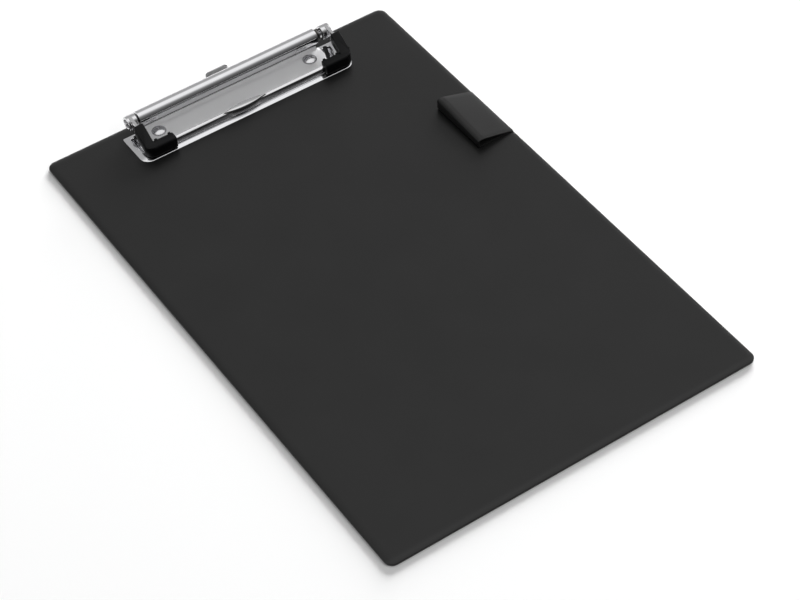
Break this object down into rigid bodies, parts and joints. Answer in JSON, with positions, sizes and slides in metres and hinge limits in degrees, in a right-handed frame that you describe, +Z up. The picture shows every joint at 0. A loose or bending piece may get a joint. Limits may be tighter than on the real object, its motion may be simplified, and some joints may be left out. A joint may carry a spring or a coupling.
{
  "type": "clipboard",
  "caption": "Flat vinyl-covered clipboard with a sprung bail clip, plastic corner caps, a pull-out hanging hook and a pen loop on its right edge.",
  "frame": {"origin": "centre of the board's flat back, which is the face that it lies on", "axes": "+Y along the board towards its clip, +X to the right as the face is read, +Z up out of the face"},
  "size_m": [0.23, 0.363, 0.0187],
  "materials": {
    "vinyl_face": "faintly grained black vinyl",
    "vinyl_back": "faintly grained black vinyl",
    "vinyl_loop": "smooth black vinyl",
    "chipboard": "pressed grey-brown board",
    "chromed_sheet": "bright nickel-chrome plate",
    "chromed_band": "bright nickel-chrome plate",
    "rivet_steel": "bright plated",
    "washer_steel": "dull zinc plate",
    "cap_plastic": "moulded, half gloss",
    "bush_plastic": "moulded",
    "rod_steel": "drawn wire, plated",
    "spring_steel": "oiled spring wire",
    "hook_plastic": "grey moulded plastic"
  },
  "bodies": {
    "board": {"board_core": "chipboard", "front_cover": "vinyl_face", "back_cover": "vinyl_back", "pen_loop": "vinyl_loop", "base_plate": "chromed_sheet", "rivets": "rivet_steel", "rivet_washers": "washer_steel", "hinge_rod": "rod_steel", "left_bush": "bush_plastic", "right_bush": "bush_plastic", "left_torsion_spring": "spring_steel", "right_torsion_spring": "spring_steel"},
    "clamp": {"clamp_frame": "chromed_band", "left_corner_cap": "cap_plastic", "right_corner_cap": "cap_plastic"},
    "hook": {"hanging_hook": "hook_plastic"}
  },
  "joints": [
    {"name": "clamp_hinge", "type": "hinge", "parent": "board", "child": "clamp", "pos_m": [0.004, 0.1692, 0.0122], "axis": [-1, 0, 0], "range_deg": [0, 45], "stiffness_Nm_per_rad": 0.4, "springref_deg": -17.19},
    {"name": "hook_slide", "type": "slide", "parent": "board", "child": "hook", "axis": [0, 1, 0], "range_m": [0, 0.014]}
  ]
}
